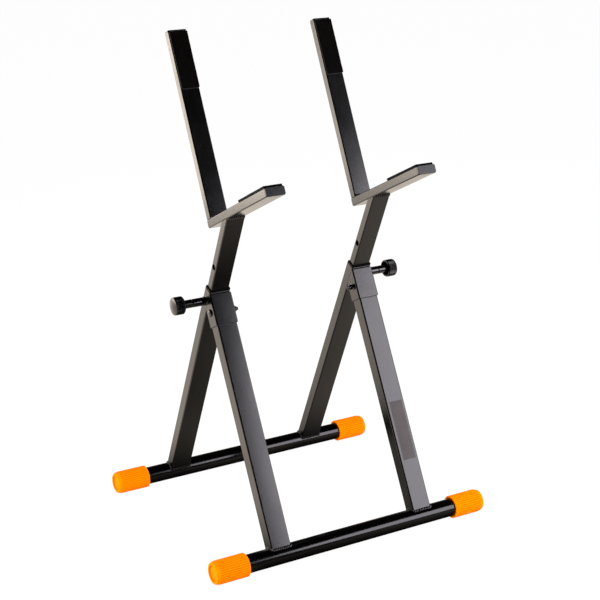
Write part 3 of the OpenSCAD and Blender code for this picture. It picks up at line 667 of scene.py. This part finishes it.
def beadAlong(name, path, closed, seed):   # a row of overlapping puddles along a path, in mm
    rng = random.Random(seed)
    lengths = [0.0]
    for a, b in zip(path, path[1:]):
        lengths.append(lengths[-1] + (b - a).length)
    total = lengths[-1] + ((path[0] - path[-1]).length if closed else 0)
    puddles = max(2, round(total / bead["pitch"]))
    sizes = [1 + rng.uniform(-bead["spread"], bead["spread"]) for _ in range(puddles + 1)]
    curve = bpy.data.curves.new(name, "CURVE")
    curve.dimensions = "3D"
    curve.bevel_depth, curve.bevel_resolution, curve.use_fill_caps = bead["radius"], 3, True
    line = curve.splines.new("POLY")
    line.points.add(len(path) - 1)
    line.use_cyclic_u = closed
    for point, place, along in zip(line.points, path, lengths):
        phase = along / total * puddles
        arch = abs(math.sin(math.pi * phase))
        size = sizes[int(phase) % puddles] * (1 - bead["ripple"] + bead["ripple"] * arch)
        if not closed:   # the ends taper off
            size *= min(1, bead["startSize"] + min(along, total - along) / bead["startLength"])
        point.co = (*place, 1)
        point.radius = size
    holder = bpy.data.objects.new(name, curve)
    scene.collection.objects.link(holder)
    mesh = bpy.data.meshes.new_from_object(holder.evaluated_get(bpy.context.evaluated_depsgraph_get()))
    bpy.data.objects.remove(holder)
    bpy.data.curves.remove(curve)
    return mesh


def footPath(width, depth):   # round the foot of a leg, on the base tube's surface
    corner = stand["legCorner"]
    corners = []
    for cx, cy, first in ((1, 1, 0), (-1, 1, 90), (-1, -1, 180), (1, -1, 270)):
        for d in range(0, 91, 30):
            a = math.radians(first + d)
            corners.append(Vector((cx * (width / 2 - corner) + corner * math.cos(a),
                                   cy * (depth / 2 - corner) + corner * math.sin(a), 0)))
    path = []
    for a, b in zip(corners, corners[1:] + corners[:1]):
        parts = max(1, round((b - a).length / bead["step"]))
        path += [a.lerp(b, i / parts) for i in range(parts)]
    for p in path:
        p.z = math.sqrt((stand["tubeD"] / 2) ** 2 - p.y ** 2)
    return path


def straightPath(centre, length):   # across the stand
    count = round(length / bead["step"])
    return [centre + Vector((length * (i / count - 0.5), 0, 0)) for i in range(count + 1)]


for row, legPlace in legPlaces.items():
    width, depth = stand["legWidth"][row], stand["legDepth"][row]
    whole = bmesh.new()
    for side in sides:
        ring = beadAlong("foot_bead", footPath(width, depth), True, f"{row}{side}")
        for v in ring.vertices:   # the bead is drawn out flat against the leg
            for axis, half in ((0, width / 2), (1, depth / 2)):
                proud = abs(v.co[axis]) - half
                if proud > 0:
                    v.co[axis] -= math.copysign(proud * (1 - bead["flat"]), v.co[axis])
        addMesh(whole, ring, onSide(side) @ legPlace)
    finishPiece(f"{row}_weld_beads_rippled", whole, Matrix(), f"{row}_frame", weldBlack,
                [f"{row}_weld_beads"], smooth=60)

# Seams of an arm: across the front and back of the post's top, and across the foot of the back arm
slant = math.radians(stand["rearLean"] + stand["shelfTilt"])
seams = []
for y in (-armFace, armFace):
    z = shelfUp - (armFace + y * math.sin(slant)) / math.cos(slant)
    seams.append((legPlaces["rear"], Vector((0, y, z))))
seams.append((shelfPlace, Vector((0, backFace, armFace))))
for side in sides:
    whole = bmesh.new()
    for i, (place, centre) in enumerate(seams):
        seam = beadAlong("arm_bead", straightPath(centre, bead["armLength"]), False, f"{side}{i}")
        addMesh(whole, seam, onSide(side) @ place)
    finishPiece(f"arm_weld_beads_{side}_rippled", whole, Matrix(), f"upper_{side}",
                weldBlack, [f"arm_weld_beads_{side}"], smooth=60)
print("weld beads made")


# Bare label on the right front leg

label = {"width": 26, "from": 102.5, "to": 209, "across": 0.8, "thickness": 0.15, "corner": 1.5}
bm = box((label["width"], label["thickness"], label["to"] - label["from"]), (0, 0, 0))
corners = [e for e in bm.edges if abs((e.verts[0].co - e.verts[1].co).normalized().y) > 0.9]
bmesh.ops.bevel(bm, geom=corners, offset=label["corner"], segments=5, profile=0.5, affect="EDGES",
                material=-1)
labelPlace = move(label["across"], -(stand["legDepth"]["front"] + label["thickness"]) / 2,
                  (label["from"] + label["to"]) / 2)
finishPiece("bare_label", bm, onSide("right") @ legPlaces["front"] @ labelPlace, "front_frame",
            labelFilm)
print("label made")


# Floor

disc = bmesh.new()
bmesh.ops.create_circle(disc, cap_ends=True, segments=96, radius=14)   # in metres, past the picture's edge
floor = bpy.data.objects.new("floor", toMesh(disc, "floor"))
scene.collection.objects.link(floor)
pale, tree, place = newMaterial("pale_studio_floor")
rays = addNode(tree, "ShaderNodeLightPath")
paper = addNode(tree, "ShaderNodeBsdfDiffuse", {"Color": hexColour("#ededeb")})
white = addNode(tree, "ShaderNodeEmission", {"Color": (1, 1, 1, 1), "Strength": 1.06})
share = addNode(tree, "ShaderNodeMath", {0: rays.outputs["Is Camera Ray"], 1: 0.9}, operation="MULTIPLY")
plain = addNode(tree, "ShaderNodeMixShader", {0: share, 1: paper, 2: white})

# In the gloss of the coat the floor glows with a painted reflection: bright at the left and behind, most of
# all far behind, with painted shade under the stand and against the tubes. It is a little lighter towards
# the right, where it fades behind.
# Each zone has its axis, where it starts and ends in metres, and its strength at those places.
glossZones = {"leftSide": ("X", -0.17, -0.28, 0.0, 1.5), "behind": ("Y", 0.05, 0.55, 0.0, 1.3),
              "farBehind": ("Y", 0.95, 1.4, 0.0, 0.75), "fade": ("X", 0.05, 0.5, 1.0, 0.25),
              "rightSide": ("X", -0.05, 0.55, 0.26, 0.88), "inFront": ("Y", -0.35, -0.8, 1.0, 0.12)}
where = addNode(tree, "ShaderNodeSeparateXYZ", {0: place})
zones = {}
for name, (axis, start, end, first, last) in glossZones.items():
    zones[name] = addNode(tree, "ShaderNodeMapRange",
                          {"Value": where.outputs[axis], "From Min": start, "From Max": end, "To Min": first,
                           "To Max": last})
# Painted contact shadow: ambient occlusion darkens the floor's glow next to the tubes and the feet.
paintedContactShade = addNode(tree, "ShaderNodeAmbientOcclusion", {"Distance": 0.1})
paintedContactShade = addNode(tree, "ShaderNodeMath", {0: paintedContactShade.outputs["AO"], 1: 4.0}, operation="POWER")
bright = zones["behind"]
for operation, other in (("ADD", zones["farBehind"]), ("MULTIPLY", zones["fade"]),
                         ("MAXIMUM", zones["leftSide"]), ("ADD", zones["rightSide"]), ("MULTIPLY", paintedContactShade),
                         ("MULTIPLY", zones["inFront"])):
    bright = addNode(tree, "ShaderNodeMath", {0: bright, 1: other}, operation=operation)
# This glow is a painted reflection: gloss rays see the floor shine, though it is no lamp.
paintedFloorReflection = addNode(tree, "ShaderNodeEmission", {"Color": hexColour("#fff2e3"), "Strength": bright})
seen = addNode(tree, "ShaderNodeMixShader", {0: rays.outputs["Is Glossy Ray"], 1: plain, 2: paintedFloorReflection})
addNode(tree, "ShaderNodeOutputMaterial", {"Surface": seen})
floor.data.materials.append(pale)


# Room: white to the camera. Gloss sees a bright sweep low behind the stand and a dark room above it.

room = bpy.data.worlds.new("studio")
scene.world = room
room.use_nodes = True
tree = room.node_tree
tree.nodes.clear()
rays = addNode(tree, "ShaderNodeLightPath")
way = addNode(tree, "ShaderNodeSeparateXYZ", {0: addNode(tree, "ShaderNodeTexCoord").outputs["Generated"]})
sweep = addNode(tree, "ShaderNodeMapRange",
                {"Value": way.outputs["Z"], "From Min": 0.0, "From Max": 0.14, "To Min": 1.2,
                 "To Max": 0.02}, interpolation_type="SMOOTHSTEP")
backwards = addNode(tree, "ShaderNodeMapRange",
                    {"Value": way.outputs["Y"], "From Min": -0.1, "From Max": 0.4, "To Min": 0.05,
                     "To Max": 1.0})
sweep = addNode(tree, "ShaderNodeMath", {0: sweep, 1: backwards}, operation="MULTIPLY")
gloss = addNode(tree, "ShaderNodeMath", {0: rays.outputs["Is Glossy Ray"], 1: sweep}, operation="MULTIPLY")
clear = addNode(tree, "ShaderNodeMath",
                {0: rays.outputs["Is Camera Ray"], 1: rays.outputs["Is Transmission Ray"]},
                operation="MAXIMUM")
soft = addNode(tree, "ShaderNodeMath", {0: rays.outputs["Is Diffuse Ray"], 1: 0.34}, operation="MULTIPLY")
total = gloss
for extra in (clear, soft):
    total = addNode(tree, "ShaderNodeMath", {0: total, 1: extra}, operation="ADD")
light = addNode(tree, "ShaderNodeBackground", {"Color": (1, 1, 1, 1), "Strength": total})
addNode(tree, "ShaderNodeOutputWorld", {"Surface": light})


# Lamps: place, aim and size in metres, how bright their face is next to white paper, and the rays they serve

lamps = {
    "front_soft_box": {"shape": "DISK", "at": (1.785, -1.95, 1.045), "aim": (0.2, 0, 0.3),
                       "size": (1.84, 1.84), "face": 6.5, "colour": "#f8f4fd", "rays": "all"},
    "left_panel": {"shape": "RECTANGLE", "at": (-1.135, 1.27, 0.565), "aim": (-0.1, 0, 0.6),
                   "size": (0.88, 0.78), "face": 4.8, "colour": "#fff3e3", "rays": "all"},
    "left_top_panel": {"shape": "RECTANGLE", "at": (-1.135, 1.27, 0.95), "aim": (-0.1, 0, 0.95),
                       "size": (0.88, 0.8), "face": 2.8, "colour": "#fff3e3", "rays": "all"},
    "left_fill": {"shape": "RECTANGLE", "at": (-1.9, -0.2, 0.3), "aim": (-0.2, 0, 0.05),
                  "size": (1.2, 0.9), "face": 12.0, "colour": "#ffffff", "rays": "diffuse"},
    "right_fill": {"shape": "RECTANGLE", "at": (0.9, -0.9, 1.2), "aim": (0.25, 0, 0.1),
                   "size": (0.6, 0.6), "face": 20.0, "colour": "#ffffff", "rays": "diffuse"},
    "top_fill": {"shape": "RECTANGLE", "at": (-0.6, -0.6, 2.4), "aim": (0, 0, 0.4),
                 "size": (1.8, 1.8), "face": 1.2, "colour": "#ffffff", "rays": "diffuse"},
    "back_soft_box": {"shape": "RECTANGLE", "at": (-0.3, 2.3, 1.6), "aim": (0, 0, 0.4),
                      "size": (1.5, 1.2), "face": 3.0, "colour": "#f8f4fd", "rays": "glossy"},
}
for name, lamp in lamps.items():
    data = bpy.data.lights.new(name, "AREA")
    data.shape = lamp["shape"]
    width, height = lamp["size"]
    data.size, data.size_y = width, height
    area = width * height * (math.pi / 4 if lamp["shape"] == "DISK" else 1)
    data.energy = lamp["face"] * math.pi * area
    data.color = hexColour(lamp["colour"])[:3]
    softBox = bpy.data.objects.new(name, data)
    scene.collection.objects.link(softBox)
    softBox.location = lamp["at"]
    softBox.rotation_euler = (Vector(lamp["aim"]) - Vector(lamp["at"])).to_track_quat("-Z", "Y").to_euler()
    softBox.visible_camera = False
    softBox.visible_glossy = lamp["rays"] != "diffuse"
    softBox.visible_diffuse = lamp["rays"] != "glossy"
print("floor, room and lamps made")


# Camera, as the photograph was taken

view = {"azimuth": -30.3507, "elevation": 18.6082, "focalPixels": 1472.4, "imagePixels": 600,
        "place": (-1.2398, -2.1369, 1.22581)}
az, el = math.radians(view["azimuth"]), math.radians(view["elevation"])
look = Vector((-math.sin(az) * math.cos(el), math.cos(az) * math.cos(el), -math.sin(el)))
lens = bpy.data.cameras.new("camera")
lens.sensor_width = 36
lens.lens = view["focalPixels"] / view["imagePixels"] * lens.sensor_width
lens.clip_end = 60
camera = bpy.data.objects.new("camera", lens)
scene.collection.objects.link(camera)
camera.location = view["place"]
camera.rotation_euler = look.to_track_quat("-Z", "Y").to_euler()
scene.camera = camera
scene.view_settings.view_transform = "Standard"
